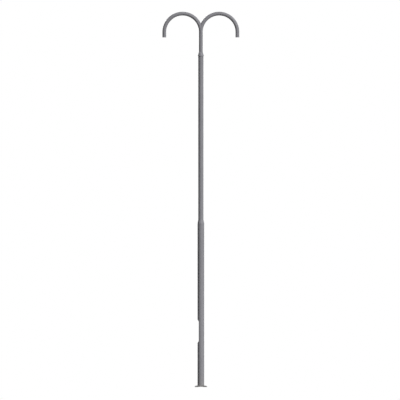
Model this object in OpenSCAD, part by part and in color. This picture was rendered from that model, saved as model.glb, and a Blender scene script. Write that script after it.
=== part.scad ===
// Stepped tubular steel light pole with a twin hooked bracket.
// Origin at the centre of the base plate's underside, +Z up, hooks along X, hand hole facing -X.

/* [Base plate] */
// Side of the square base plate
plate_w = 300; // [290:5:340]
// Thickness of the base plate
plate_t = 12; // [10:1:16]
// Radius of the plate's corners
plate_corner_r = 15; // [5:1:30]
// Diameter where the pressed dome meets the flat corners
dome_d = 332; // [316:2:332]
// Height that the dome is pressed up
dome_rise = 24; // [12:1:30]
// Width of the flat seat round the shaft on top of the dome
dome_seat = 14; // [10:1:20]
// Distance between the anchor bolts along X and along Y
anchor_spacing = 250; // [240:2:256]
// Diameter of the anchor bolt holes
anchor_hole_d = 22; // [18:1:24]

/* [Shafts] */
// Outside diameter of the lower shaft
lower_d = 159; // [150:1:170]
// Wall thickness of the lower shaft
lower_wall = 5; // [4:0.5:8]
// Height of the seam between the lower shaft and the reducer
lower_top_z = 3912; // [3400:1:4400]
// Height of the reducer
reducer_h = 117; // [90:1:160]
// Outside diameter of the middle shaft
middle_d = 124; // [118:1:130]
// Wall thickness of the middle shaft
middle_wall = 4; // [3:0.5:6]
// Height of the middle shaft's top end
middle_top_z = 7955; // [7500:1:8100]

/* [Hand hole] */
// Height of the middle of the hand hole
hatch_z = 1338; // [1000:1:1600]
// Clear height of the hand hole
hatch_h = 557; // [400:1:600]
// Clear width of the hand hole
hatch_w = 122; // [90:1:126]
// Thickness of the flat bar that frames the hand hole
frame_t = 4; // [3:0.5:6]
// Distance from the pole's axis to the frame's inner edge
frame_back = 32; // [28:1:38]

/* [Bracket] */
// Outside diameter of the stem and of the hooks
stem_d = 90; // [84:1:96]
// Wall thickness of the stem and of the hooks
stem_wall = 4; // [3:0.5:5]
// Length of stem inside the middle shaft
spigot_len = 450; // [300:10:600]
// Height where the stem ends and the two bends begin
bend_z = 8515; // [8300:1:8700]
// Radius of each hook, to the middle of the tube
bend_r = 438; // [380:1:480]
// Length of the straight end of each hook
tip_len = 133; // [80:1:200]

/* [Collar] */
// Diameter of the collar's lower edge
collar_d = 147; // [142:1:152]
// Height of the collar
collar_h = 89; // [80:1:110]
// Length of middle shaft that the collar covers
collar_cover = 19; // [10:1:20]
// Thickness of the collar, across
collar_t = 4; // [3:0.5:5]

/* [Hidden] */
$fn = 96;
lower_r = lower_d / 2;
middle_r = middle_d / 2;
stem_r = stem_d / 2;
lower_bore_r = lower_r - lower_wall;
middle_bore_r = middle_r - middle_wall;
stem_bore_r = stem_r - stem_wall;
dome_r = dome_d / 2;
seat_r = lower_r + dome_seat;
plate_top_z = plate_t + dome_rise;
curve_steps = 16;
eps = 1;

// welds
root_gap = 2;
seam_w = 10;
seam_crown = 1.4;
base_leg = 9;
foot_leg = 7;
collar_leg = 4;
crotch_w = 9;
crotch_crown = 1.6;
bulge = 0.12;
shaft_below_dome = 8;
shaft_foot_z = dome_rise - shaft_below_dome;

// hand hole fittings
strap_w = 25;
strap_t = 5;
strap_inset = 42;
strap_hole_d = 8;
rail_w = 40;
rail_t = 5;
rail_len = 460;
rail_x = 44;
rail_slot_w = 9;
rail_slot_len = 30;
rail_slot_spacing = 180;
bracket_w = 30;
bracket_h = 40;
bracket_t = 4;
bracket_inset = 60;
bolt_d = 8;
bolt_head_af = 13;
bolt_head_h = 5.3;
bolt_nut_h = 6.5;
bolt_tail = 3;
earth_d = 10;
earth_len = 34;
earth_z = hatch_z - hatch_h / 2 + 22;
earth_washer_d = 21;
earth_washer_t = 2;
earth_nut_af = 16;
earth_nut_h = 8.4;

// spigot fittings
ring_h = 40;
ring_clear = 0.5;
ring_top_inset = 35;
screw_count = 3;
screw_first_angle = 180;
screw_d = 10;
screw_z = middle_top_z - ring_top_inset - ring_h / 2;
screw_tip_r = stem_r + 2;
screw_seat_r = middle_r - 0.9;
screw_head_d = 17.5;
screw_head_h = 5.5;
screw_socket_af = 6;
screw_socket_depth = 3;

collar_z = middle_top_z - collar_cover;
reducer_top_z = lower_top_z + reducer_h;

// A smooth step from 0 to 1 as t goes from 0 to 1
function ease(t) = (1 - cos(180 * t)) / 2;
function mix(a, b, t) = a + (b - a) * t;
// Points of an S-shaped line from [r0, z0] to [r1, z1], upright at both ends
function upright_s(r0, z0, r1, z1) =
  [for (i = [0:curve_steps]) let (t = i / curve_steps) [mix(r0, r1, ease(t)), mix(z0, z1, t)]];
// Points of a dished line from its rim at [r0, z0] up to [r1, z1], where it ends level
function dish_line(r0, z0, r1, z1) =
  [for (i = [0:curve_steps]) let (t = i / curve_steps) [mix(r0, r1, t), mix(z0, z1, sin(90 * t))]];
function reversed(list) = [for (i = [len(list) - 1:-1:0]) list[i]];
// Slightly convex slope of a fillet weld of the given leg, from its toe to the top of its leg
function fillet_slope(r, leg) =
  [for (t = [0:1 / 6:1]) let (out = bulge * leg * sin(180 * t)) [r + leg * (1 - t) + out, leg * t + out]];
// Crown of a seam weld, from its lower to its upper toe
function seam_crown_line(r) =
  [for (i = [0:8]) let (t = i / 8) [r + seam_crown * sin(180 * t), seam_w * (t - 0.5)]];

module ring(outer_r, inner_r, z0, z1) {
  translate([0, 0, z0]) difference() {
    cylinder(h = z1 - z0, r = outer_r);
    translate([0, 0, -eps]) cylinder(h = z1 - z0 + 2 * eps, r = inner_r);
  }
}

module fillet_weld(r, leg) {
  rotate_extrude() polygon(concat([[r, 0]], fillet_slope(r, leg)));
}

module seam_weld(outer_r, inner_r) {
  rotate_extrude() polygon(concat(
    [[inner_r, root_gap / 2], [inner_r, -root_gap / 2], [outer_r, -root_gap / 2]],
    seam_crown_line(outer_r),
    [[outer_r, root_gap / 2]]
  ));
}

// A bar along X with a round-ended upright section, as wide and as high as given, centred at height z
module slot_bar(w, h, x_from, x_to, z = hatch_z) {
  translate([x_from, 0, z]) rotate([0, 90, 0]) linear_extrude(x_to - x_from) {
    square([h - w, w], center = true);
    for (side = [-1, 1]) translate([side * (h - w) / 2, 0]) circle(d = w);
  }
}

module hex_bar(af, h) {
  cylinder(h = h, d = af / cos(30), $fn = 6);
}

module base_plate() {
  corner_at = plate_w / 2 - plate_corner_r;
  color([0.50, 0.50, 0.52]) difference() {
    intersection() {
      rotate_extrude() polygon(concat(
        [[lower_r, dome_rise]],
        reversed(dish_line(dome_r, 0, seat_r, dome_rise)),
        [[plate_w, 0], [plate_w, plate_t]],
        dish_line(dome_r, plate_t, seat_r, plate_top_z),
        [[lower_r, plate_top_z]]
      ));
      translate([0, 0, -eps]) linear_extrude(plate_top_z + 2 * eps) union() {
        square([2 * corner_at, plate_w], center = true);
        square([plate_w, 2 * corner_at], center = true);
        for (x = [-1, 1], y = [-1, 1]) translate([x * corner_at, y * corner_at]) circle(r = plate_corner_r);
      }
    }
    for (x = [-1, 1], y = [-1, 1]) translate([x * anchor_spacing / 2, y * anchor_spacing / 2, -eps])
      cylinder(h = plate_top_z + 2 * eps, d = anchor_hole_d);
  }
}

module base_weld() {
  color([0.46, 0.46, 0.48]) translate([0, 0, plate_top_z]) fillet_weld(lower_r, base_leg);
}

module foot_weld() {
  color([0.46, 0.46, 0.48]) translate([0, 0, dome_rise]) mirror([0, 0, 1]) fillet_weld(lower_r, foot_leg);
}

module lower_shaft() {
  color([0.52, 0.52, 0.54]) difference() {
    ring(lower_r, lower_bore_r, shaft_foot_z, lower_top_z - root_gap / 2);
    slot_bar(hatch_w + 2 * frame_t, hatch_h + 2 * frame_t, -lower_d, 0);
  }
}

module hatch_frame() {
  color([0.48, 0.48, 0.50]) intersection() {
    difference() {
      slot_bar(hatch_w + 2 * frame_t, hatch_h + 2 * frame_t, -lower_d, -frame_back);
      slot_bar(hatch_w, hatch_h, -lower_d - eps, -frame_back + eps);
    }
    translate([0, 0, hatch_z - hatch_h]) cylinder(h = 2 * hatch_h, r = lower_r);
  }
}

// Flat bar across the back of the frame, with a threaded hole for the door's screw
module door_strap(z) {
  translate([-frame_back, 0, z]) difference() {
    translate([0, -hatch_w / 2 - frame_t, -strap_w / 2]) cube([strap_t, hatch_w + 2 * frame_t, strap_w]);
    translate([-eps, 0, 0]) rotate([0, 90, 0]) cylinder(h = strap_t + 2 * eps, d = strap_hole_d);
  }
}

module upper_door_strap() {
  color([0.58, 0.58, 0.60]) door_strap(hatch_z + hatch_h / 2 - strap_inset);
}

module lower_door_strap() {
  color([0.58, 0.58, 0.60]) door_strap(hatch_z - hatch_h / 2 + strap_inset);
}

module equipment_rail() {
  color([0.62, 0.62, 0.64]) difference() {
    translate([rail_x, -rail_w / 2, hatch_z - rail_len / 2]) cube([rail_t, rail_w, rail_len]);
    for (side = [-1, 1]) {
      slot_bar(rail_slot_w, rail_slot_len, rail_x - eps, rail_x + rail_t + eps,
        hatch_z + side * rail_slot_spacing / 2);
      translate([rail_x - eps, 0, hatch_z + side * (rail_len / 2 - bracket_inset)]) rotate([0, 90, 0])
        cylinder(h = rail_t + 2 * eps, d = bolt_d);
    }
  }
}

// Angle bracket from the back wall of the shaft to the back of the rail
module rail_bracket(z) {
  foot_x = rail_x + rail_t;
  intersection() {
    difference() {
      translate([foot_x, -bracket_w / 2, z - bracket_h / 2]) union() {
        cube([bracket_t, bracket_w, bracket_h]);
        cube([lower_r, bracket_w, bracket_t]);
      }
      translate([foot_x - eps, 0, z]) rotate([0, 90, 0]) cylinder(h = bracket_t + 2 * eps, d = bolt_d);
    }
    translate([0, 0, z - bracket_h]) cylinder(h = 2 * bracket_h, r = lower_bore_r);
  }
}

module upper_rail_bracket() {
  color([0.58, 0.58, 0.60]) rail_bracket(hatch_z + rail_len / 2 - bracket_inset);
}

module lower_rail_bracket() {
  color([0.58, 0.58, 0.60]) rail_bracket(hatch_z - rail_len / 2 + bracket_inset);
}

module rail_bolt(z) {
  translate([rail_x, 0, z]) rotate([0, 90, 0]) {
    cylinder(h = rail_t + bracket_t + bolt_nut_h + bolt_tail, d = bolt_d);
    translate([0, 0, -bolt_head_h]) hex_bar(bolt_head_af, bolt_head_h);
  }
}

module rail_nut(z) {
  translate([rail_x + rail_t + bracket_t, 0, z]) rotate([0, 90, 0]) difference() {
    hex_bar(bolt_head_af, bolt_nut_h);
    translate([0, 0, -eps]) cylinder(h = bolt_nut_h + 2 * eps, d = bolt_d);
  }
}

module upper_rail_bolt() {
  color([0.72, 0.71, 0.68]) rail_bolt(hatch_z + rail_len / 2 - bracket_inset);
}

module lower_rail_bolt() {
  color([0.72, 0.71, 0.68]) rail_bolt(hatch_z - rail_len / 2 + bracket_inset);
}

module upper_rail_nut() {
  color([0.72, 0.71, 0.68]) rail_nut(hatch_z + rail_len / 2 - bracket_inset);
}

module lower_rail_nut() {
  color([0.72, 0.71, 0.68]) rail_nut(hatch_z - rail_len / 2 + bracket_inset);
}

// Puts its children on the inside of the shaft's wall, with +Z pointing at the pole's axis
module at_earth_point() {
  translate([lower_bore_r, 0, earth_z]) rotate([0, -90, 0]) children();
}

module earth_stud() {
  color([0.80, 0.66, 0.30]) intersection() {
    at_earth_point() translate([0, 0, -lower_wall]) cylinder(h = earth_len + lower_wall, d = earth_d);
    translate([0, 0, earth_z - earth_len]) cylinder(h = 2 * earth_len, r = lower_bore_r);
  }
}

module earth_washer() {
  color([0.80, 0.66, 0.30]) at_earth_point() translate([0, 0, earth_washer_t]) difference() {
    cylinder(h = earth_washer_t, d = earth_washer_d);
    translate([0, 0, -eps]) cylinder(h = earth_washer_t + 2 * eps, d = earth_d);
  }
}

module earth_nut() {
  color([0.80, 0.66, 0.30]) at_earth_point() translate([0, 0, 2 * earth_washer_t]) difference() {
    hex_bar(earth_nut_af, earth_nut_h);
    translate([0, 0, -eps]) cylinder(h = earth_nut_h + 2 * eps, d = earth_d);
  }
}

module lower_seam_weld() {
  color([0.46, 0.46, 0.48]) translate([0, 0, lower_top_z]) seam_weld(lower_r, lower_bore_r);
}

module reducer() {
  z0 = lower_top_z + root_gap / 2;
  z1 = reducer_top_z - root_gap / 2;
  color([0.52, 0.52, 0.54]) rotate_extrude() polygon(concat(
    upright_s(lower_r, z0, middle_r, z1),
    reversed(upright_s(lower_bore_r, z0, middle_bore_r, z1))
  ));
}

module upper_seam_weld() {
  color([0.46, 0.46, 0.48]) translate([0, 0, reducer_top_z]) seam_weld(middle_r, middle_bore_r);
}

// Puts its children at one bracket screw, with +Z pointing away from the pole's axis
module at_screw(i) {
  turn = screw_first_angle + 360 / screw_count * i;
  rotate([0, 0, turn]) translate([0, 0, screw_z]) rotate([0, 90, 0]) children();
}

module middle_shaft() {
  color([0.52, 0.52, 0.54]) difference() {
    ring(middle_r, middle_bore_r, reducer_top_z + root_gap / 2, middle_top_z);
    for (i = [0:screw_count - 1]) at_screw(i) {
      cylinder(h = middle_d, d = screw_d);
      translate([0, 0, screw_seat_r]) cylinder(h = middle_d, d = screw_head_d);
    }
  }
}

module lower_spigot_ring() {
  color([0.48, 0.48, 0.50]) ring(middle_bore_r - ring_clear, stem_r,
    middle_top_z - spigot_len, middle_top_z - spigot_len + ring_h);
}

module upper_spigot_ring() {
  color([0.48, 0.48, 0.50]) difference() {
    ring(middle_bore_r - ring_clear, stem_r, screw_z - ring_h / 2, screw_z + ring_h / 2);
    for (i = [0:screw_count - 1]) at_screw(i) translate([0, 0, screw_tip_r])
      cylinder(h = middle_d, d = screw_d);
  }
}

module bracket_stem() {
  color([0.52, 0.52, 0.54]) ring(stem_r, stem_bore_r, middle_top_z - spigot_len, bend_z - root_gap / 2);
}

module collar() {
  lip_r = collar_d / 2;
  color([0.50, 0.50, 0.52]) translate([0, 0, collar_z]) rotate_extrude() polygon([
    [lip_r, 0], [stem_r + collar_t, collar_h], [stem_r, collar_h], [lip_r - collar_t, 0]
  ]);
}

module collar_weld() {
  color([0.46, 0.46, 0.48]) translate([0, 0, collar_z + collar_h]) fillet_weld(stem_r, collar_leg);
}

module bracket_screw(i) {
  color([0.72, 0.71, 0.68]) at_screw(i) {
    translate([0, 0, screw_tip_r]) cylinder(h = screw_seat_r - screw_tip_r, d = screw_d);
    translate([0, 0, screw_seat_r]) difference() {
      cylinder(h = screw_head_h, d1 = screw_head_d, d2 = screw_head_d - 2 * screw_socket_depth);
      translate([0, 0, screw_head_h - screw_socket_depth]) hex_bar(screw_socket_af, screw_socket_depth + eps);
    }
  }
}

module bracket_screw_1() {
  bracket_screw(0);
}

module bracket_screw_2() {
  bracket_screw(1);
}

module bracket_screw_3() {
  bracket_screw(2);
}

module stem_seam_weld() {
  color([0.46, 0.46, 0.48]) translate([0, 0, bend_z]) seam_weld(stem_r, stem_bore_r);
}

// Half circle of solid bar over +X, from the pole's axis to the hook's outer side
module bend_bar(r) {
  translate([bend_r, 0, bend_z]) rotate([90, 0, 0])
    rotate_extrude(angle = 180) translate([bend_r, 0]) circle(r = r);
}

module hook() {
  difference() {
    union() {
      bend_bar(stem_r);
      translate([2 * bend_r, 0, bend_z - tip_len]) cylinder(h = tip_len, r = stem_r);
    }
    bend_bar(stem_bore_r);
    translate([2 * bend_r, 0, bend_z - tip_len - eps]) cylinder(h = tip_len + eps, r = stem_bore_r);
    translate([-stem_d, -stem_d, bend_z - eps]) cube([stem_d, 2 * stem_d, 2 * bend_r]);
    translate([-stem_d, -stem_d, bend_z - eps]) cube([2 * stem_d, 2 * stem_d, eps + root_gap / 2]);
  }
}

module right_hook() {
  color([0.52, 0.52, 0.54]) hook();
}

module left_hook() {
  color([0.52, 0.52, 0.54]) mirror([1, 0, 0]) hook();
}

module crotch_weld() {
  color([0.46, 0.46, 0.48]) difference() {
    intersection() {
      union() {
        bend_bar(stem_r + crotch_crown);
        mirror([1, 0, 0]) bend_bar(stem_r + crotch_crown);
      }
      translate([-crotch_w / 2, -stem_d, bend_z + seam_w / 2]) cube([crotch_w, 2 * stem_d, bend_r]);
    }
    bend_bar(stem_r);
    mirror([1, 0, 0]) bend_bar(stem_r);
  }
}

base_plate();
base_weld();
foot_weld();
lower_shaft();
hatch_frame();
upper_door_strap();
lower_door_strap();
equipment_rail();
upper_rail_bracket();
lower_rail_bracket();
upper_rail_bolt();
lower_rail_bolt();
upper_rail_nut();
lower_rail_nut();
earth_stud();
earth_washer();
earth_nut();
lower_seam_weld();
reducer();
upper_seam_weld();
middle_shaft();
lower_spigot_ring();
upper_spigot_ring();
bracket_stem();
collar();
collar_weld();
bracket_screw_1();
bracket_screw_2();
bracket_screw_3();
stem_seam_weld();
left_hook();
right_hook();
crotch_weld();
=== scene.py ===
from math import atan2, cos, hypot, pi, radians, sin, sqrt

import bpy
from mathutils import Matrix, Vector


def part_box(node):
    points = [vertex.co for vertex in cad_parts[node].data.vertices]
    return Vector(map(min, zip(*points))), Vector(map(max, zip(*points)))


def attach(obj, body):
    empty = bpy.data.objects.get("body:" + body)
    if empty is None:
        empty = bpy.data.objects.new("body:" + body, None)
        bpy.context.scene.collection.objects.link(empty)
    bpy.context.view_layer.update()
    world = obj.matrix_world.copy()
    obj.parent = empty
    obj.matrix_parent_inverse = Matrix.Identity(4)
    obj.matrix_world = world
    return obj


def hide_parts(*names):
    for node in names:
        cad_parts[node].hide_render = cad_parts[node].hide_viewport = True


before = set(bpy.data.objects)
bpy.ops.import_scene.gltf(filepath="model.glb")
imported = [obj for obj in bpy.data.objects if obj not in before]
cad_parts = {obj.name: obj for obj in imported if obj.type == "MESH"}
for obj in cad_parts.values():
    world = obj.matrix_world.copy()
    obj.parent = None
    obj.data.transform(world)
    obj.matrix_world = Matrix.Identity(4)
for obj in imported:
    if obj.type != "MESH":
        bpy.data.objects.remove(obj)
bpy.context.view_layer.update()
scene = bpy.context.scene
print("frame loaded,", len(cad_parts), "nodes")

# The radii of the tubes, which several pieces share
tubes = {"lower": 0.0795, "lowerBore": 0.0745, "middle": 0.062, "middleBore": 0.058,
         "stem": 0.045, "stemBore": 0.041}
alongX = (0, pi / 2, 0)  # turns a piece from Z to X
toolReach = 0.01  # how far a cutting tool stands past what it cuts
fineMerge = 0.000002  # merges the doubles on small threaded pieces


# Small helpers for picking, drawing and trimming

def pickNone():
    bpy.ops.object.select_all(action="DESELECT")


def onlyThis(obj):
    pickNone()
    obj.select_set(True)
    bpy.context.view_layer.objects.active = obj


def editThis(obj):
    onlyThis(obj)
    bpy.ops.object.mode_set(mode="EDIT")
    bpy.ops.mesh.select_mode(type="VERT")


def editAll(obj):
    editThis(obj)
    bpy.ops.mesh.select_all(action="SELECT")


def leaveEdit():
    bpy.ops.object.mode_set(mode="OBJECT")


def pickVerts(obj, wanted):
    # leaves obj in edit mode with the vertices that pass the test picked
    if obj.mode != "EDIT":
        editThis(obj)
    bpy.ops.mesh.select_all(action="DESELECT")
    leaveEdit()
    for v in obj.data.vertices:
        v.select = wanted(v)
    bpy.ops.object.mode_set(mode="EDIT")


def fixPlace(obj):
    onlyThis(obj)
    bpy.ops.object.transform_apply(location=True, rotation=True, scale=True)


def applyModifier(obj, modifier):
    onlyThis(obj)
    bpy.ops.object.modifier_apply(modifier=modifier.name)


def mergeClose(obj, distance=0.000005):
    editAll(obj)
    bpy.ops.mesh.remove_doubles(threshold=distance)
    leaveEdit()


def faceOut(obj):
    editAll(obj)
    bpy.ops.mesh.normals_make_consistent(inside=False)
    leaveEdit()


def drawOutline(name, points, closed=True):
    # one vertex extruded from point to point, ending back at the first point if closed
    pickNone()
    bpy.ops.mesh.primitive_plane_add(size=0.001, location=points[0])
    obj = bpy.context.active_object
    obj.name = obj.data.name = name
    fixPlace(obj)
    editAll(obj)
    bpy.ops.mesh.merge(type="CENTER")
    for here, there in zip(points, points[1:]):
        step = [b - a for a, b in zip(here, there)]
        bpy.ops.mesh.extrude_region_move(TRANSFORM_OT_translate={"value": step})
    if closed:
        ends = [Vector(points[0]), Vector(points[-1])]
        pickVerts(obj, lambda v: min((v.co - end).length for end in ends) < 0.00001)
        bpy.ops.mesh.edge_face_add()
    leaveEdit()
    return obj


def pullOutline(obj, step):
    # fills a closed outline and pulls it out to a solid
    editAll(obj)
    bpy.ops.mesh.edge_face_add()
    bpy.ops.mesh.extrude_region_move(TRANSFORM_OT_translate={"value": step})
    leaveEdit()
    faceOut(obj)


def turnOutline(name, outline, around, closed=True):
    # spins (radius, height) pairs about the pole's axis
    obj = drawOutline(name, [(r, 0, z) for r, z in outline], closed)
    editAll(obj)
    bpy.ops.mesh.spin(steps=around, angle=2 * pi, center=(0, 0, 0), axis=(0, 0, 1))
    leaveEdit()
    mergeClose(obj)
    faceOut(obj)
    return obj


def trimWith(obj, tool, how="DIFFERENCE", merge=0.00002):
    trim = obj.modifiers.new("trim", "BOOLEAN")
    trim.operation = how
    trim.solver = "EXACT"
    trim.object = tool
    applyModifier(obj, trim)
    bpy.data.objects.remove(tool)
    mergeClose(obj, merge)


def smoothFaces(obj, angle=35):
    # smooth shading up to the angle, with the large faces kept flat
    onlyThis(obj)
    bpy.ops.mesh.customdata_custom_splitnormals_clear()
    bpy.ops.object.shade_smooth_by_angle(angle=radians(angle))
    flat = obj.modifiers.new("keepFlat", "WEIGHTED_NORMAL")
    flat.keep_sharp = True
    applyModifier(obj, flat)


def roundEdges(obj, width, segments=2, angle=35):
    bevel = obj.modifiers.new("roundEdges", "BEVEL")
    bevel.width = width
    bevel.segments = segments
    bevel.limit_method = "ANGLE"
    bevel.angle_limit = radians(angle)
    bevel.use_clamp_overlap = False
    applyModifier(obj, bevel)
    mergeClose(obj, 0.000001)
    smoothFaces(obj, angle)


def upright(radius, height, middle, around):
    # round or six-sided bar along Z, used as a tool
    pickNone()
    bpy.ops.mesh.primitive_cylinder_add(vertices=around, radius=radius, depth=height, location=middle)
    return bpy.context.active_object


def rod(radius, xFrom, xTo, z, around):
    # round bar along X, used to cut holes
    obj = upright(radius, xTo - xFrom, ((xFrom + xTo) / 2, 0, z), around)
    obj.rotation_euler = alongX
    fixPlace(obj)
    return obj


def block(name, low, high):
    pickNone()
    low, high = Vector(low), Vector(high)
    bpy.ops.mesh.primitive_cube_add(size=1, location=(low + high) / 2, scale=high - low)
    obj = bpy.context.active_object
    obj.name = obj.data.name = name
    fixPlace(obj)
    return obj


def slotBlock(name, width, height, xFrom, xTo, z, perEnd=32):
    # upright slot with round ends, drawn once and pulled along X
    radius = width / 2
    reach = (height - width) / 2
    points = []
    for end in (1, -1):
        for turn in spread(0, pi, perEnd):
            points.append((xFrom, end * cos(turn) * radius, z + end * (reach + sin(turn) * radius)))
    obj = drawOutline(name, points)
    pullOutline(obj, (xTo - xFrom, 0, 0))
    return obj


def copyOf(obj, name):
    onlyThis(obj)
    bpy.ops.object.duplicate(linked=False)
    twin = bpy.context.active_object
    twin.name = twin.data.name = name
    return twin


def moveTo(obj, place, turn=(0, 0, 0)):
    obj.location = place
    obj.rotation_euler = turn
    fixPlace(obj)


def spread(first, last, steps):
    return [first + (last - first) * i / steps for i in range(steps + 1)]


def ease(t):
    return (1 - cos(pi * t)) / 2


def middleHeight(node):
    low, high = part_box(node)
    return (low.z + high.z) / 2


# Small helpers for nodes

def addNode(tree, kind, inputs=None, **settings):
    made = tree.nodes.new(kind)
    for key, value in settings.items():
        setattr(made, key, value)
    for key, value in (inputs or {}).items():
        if isinstance(value, bpy.types.NodeSocket):
            tree.links.new(value, made.inputs[key])
        else:
            made.inputs[key].default_value = value
    return made


def newGroup(name, inputs, outputs):
    # gives the group, the values that come into it and the sockets that its results go to
    tree = bpy.data.node_groups.new(name, "ShaderNodeTree")
    for label, value in inputs.items():
        socket = tree.interface.new_socket(label, in_out="INPUT", socket_type="NodeSocketFloat")
        socket.default_value = value
    for label in outputs:
        tree.interface.new_socket(label, in_out="OUTPUT", socket_type="NodeSocketFloat")
    return tree, tree.nodes.new("NodeGroupInput").outputs, tree.nodes.new("NodeGroupOutput").inputs


def useGroup(tree, group, **inputs):
    # the keyword patchSize sets the input Patch Size
    made = tree.nodes.new("ShaderNodeGroup")
    made.node_tree = group
    for key, value in inputs.items():
        label = "".join(" " + c if c.isupper() else c for c in key).title()
        made.inputs[label].default_value = value
    return made.outputs


def doMath(tree, operation, *values, clamp=False):
    made = addNode(tree, "ShaderNodeMath", dict(enumerate(values)), operation=operation, use_clamp=clamp)
    return made.outputs[0]


def blendColour(tree, factor, first, second):
    return addNode(tree, "ShaderNodeMix", {0: factor, 6: first, 7: second}, data_type="RGBA").outputs[2]


def tint(tree, colour, shade):
    return addNode(tree, "ShaderNodeVectorMath", {0: colour, 3: shade}, operation="SCALE").outputs[0]


def grey(level):
    return level, level, level, 1


def objectPlace(tree):
    return addNode(tree, "ShaderNodeTexCoord").outputs["Object"]


def scaledNoise(tree, scale, detail=3.0, roughness=0.5, stretch=None):
    # noise on Object coordinates, which stretch multiplies along X, Y and Z
    place = objectPlace(tree)
    if stretch:
        place = addNode(tree, "ShaderNodeMapping", {"Vector": place, "Scale": stretch}).outputs[0]
    inputs = {"Vector": place, "Scale": scale, "Detail": detail, "Roughness": roughness}
    return addNode(tree, "ShaderNodeTexNoise", inputs).outputs["Fac"]


def mapTo(tree, value, low, high):
    # eases from 0 where the value is low to 1 where it is high
    made = addNode(tree, "ShaderNodeMapRange", {"Value": value, "From Min": low, "From Max": high})
    made.interpolation_type = "SMOOTHSTEP"
    return made.outputs[0]


def addBump(tree, shader, height, distance, strength=1.0):
    bump = addNode(tree, "ShaderNodeBump", {"Height": height, "Strength": strength, "Distance": distance})
    tree.links.new(bump.outputs[0], shader.inputs["Normal"])


# Effects that the finishes share, each a node group

def makeToneDrift():
    # uneven shade in large soft patches, 1 on average
    tree, given, result = newGroup("toneDrift", {"Patch Size": 0.3, "Strength": 0.05}, ["Shade"])
    patches = scaledNoise(tree, doMath(tree, "DIVIDE", 1.0, given["Patch Size"]), 4.0, 0.6)
    centred = doMath(tree, "SUBTRACT", mapTo(tree, patches, 0.3, 0.7), 0.5)
    swing = doMath(tree, "MULTIPLY", centred, given["Strength"])
    tree.links.new(doMath(tree, "MULTIPLY_ADD", swing, 2.0, 1.0), result["Shade"])
    return tree


def makeOrangePeel():
    # the small rounded bumps of sprayed paint, and the larger waves under them
    tree, given, result = newGroup("orangePeel", {"Bump Size": 0.002}, ["Height", "Gloss"])
    fineBumps = scaledNoise(tree, doMath(tree, "DIVIDE", 1.0, given["Bump Size"]), 2.0, 0.4)
    wideWaves = scaledNoise(tree, doMath(tree, "DIVIDE", 0.12, given["Bump Size"]), 2.0, 0.5)
    tree.links.new(doMath(tree, "MULTIPLY_ADD", wideWaves, 1.5, fineBumps), result["Height"])
    tree.links.new(mapTo(tree, fineBumps, 0.35, 0.65), result["Gloss"])
    return tree


def makeRainStreaks():
    # faint marks that rain leaves as it runs down
    tree, given, result = newGroup("rainStreaks", {"Width": 0.01, "Cover": 0.5}, ["Mask"])
    runs = scaledNoise(tree, doMath(tree, "DIVIDE", 1.0, given["Width"]), 3.0, 0.6, stretch=(1, 1, 0.02))
    gaps = scaledNoise(tree, 1.7, 3.0, 0.6)
    threshold = doMath(tree, "SUBTRACT", 0.75, doMath(tree, "MULTIPLY", given["Cover"], 0.35))
    runMask = mapTo(tree, runs, threshold, 0.85)
    tree.links.new(doMath(tree, "MULTIPLY", runMask, mapTo(tree, gaps, 0.4, 0.6)), result["Mask"])
    return tree


def makeGroundDustAndShade():
    # dust and splashed dirt that thins out with height; where a finish gives it a colour darker than its
    # paint, as on the base plate and the welds at the foot, it is also painted shade near the floor
    tree, given, result = newGroup("groundDustAndShade", {"Height": 0.4, "Speckle Size": 0.004}, ["Mask"])
    above = addNode(tree, "ShaderNodeSeparateXYZ", {0: objectPlace(tree)}).outputs["Z"]
    share = doMath(tree, "SUBTRACT", 1.0, doMath(tree, "DIVIDE", above, given["Height"]), clamp=True)
    speckle = scaledNoise(tree, doMath(tree, "DIVIDE", 1.0, given["Speckle Size"]), 5.0, 0.65)
    cloud = scaledNoise(tree, 14.0, 4.0, 0.6)
    uneven = doMath(tree, "MULTIPLY_ADD", speckle, 0.5, doMath(tree, "MULTIPLY", cloud, 0.5))
    grime = doMath(tree, "ADD", doMath(tree, "MULTIPLY", share, 0.55), uneven)
    fade = doMath(tree, "POWER", share, 0.7)
    tree.links.new(doMath(tree, "MULTIPLY", mapTo(tree, grime, 0.5, 1.05), fade), result["Mask"])
    return tree


def makeEdgeWear():
    # bare metal where an outer edge is rubbed through
    tree, given, result = newGroup("edgeWear", {"Reach": 0.5, "Chip Size": 0.004}, ["Mask"])
    solid = addNode(tree, "ShaderNodeAmbientOcclusion", {"Distance": 0.0025},
                    samples=6, inside=True, only_local=True)
    edges = mapTo(tree, doMath(tree, "SUBTRACT", 1.0, solid.outputs["AO"]), 0.05, 0.35)
    chips = scaledNoise(tree, doMath(tree, "DIVIDE", 1.0, given["Chip Size"]), 4.0, 0.65)
    rubbed = doMath(tree, "MULTIPLY", edges, doMath(tree, "MULTIPLY", given["Reach"], 1.5))
    worn = doMath(tree, "ADD", rubbed, doMath(tree, "SUBTRACT", chips, 1.0))
    tree.links.new(mapTo(tree, worn, 0.05, 0.3), result["Mask"])
    return tree


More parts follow.
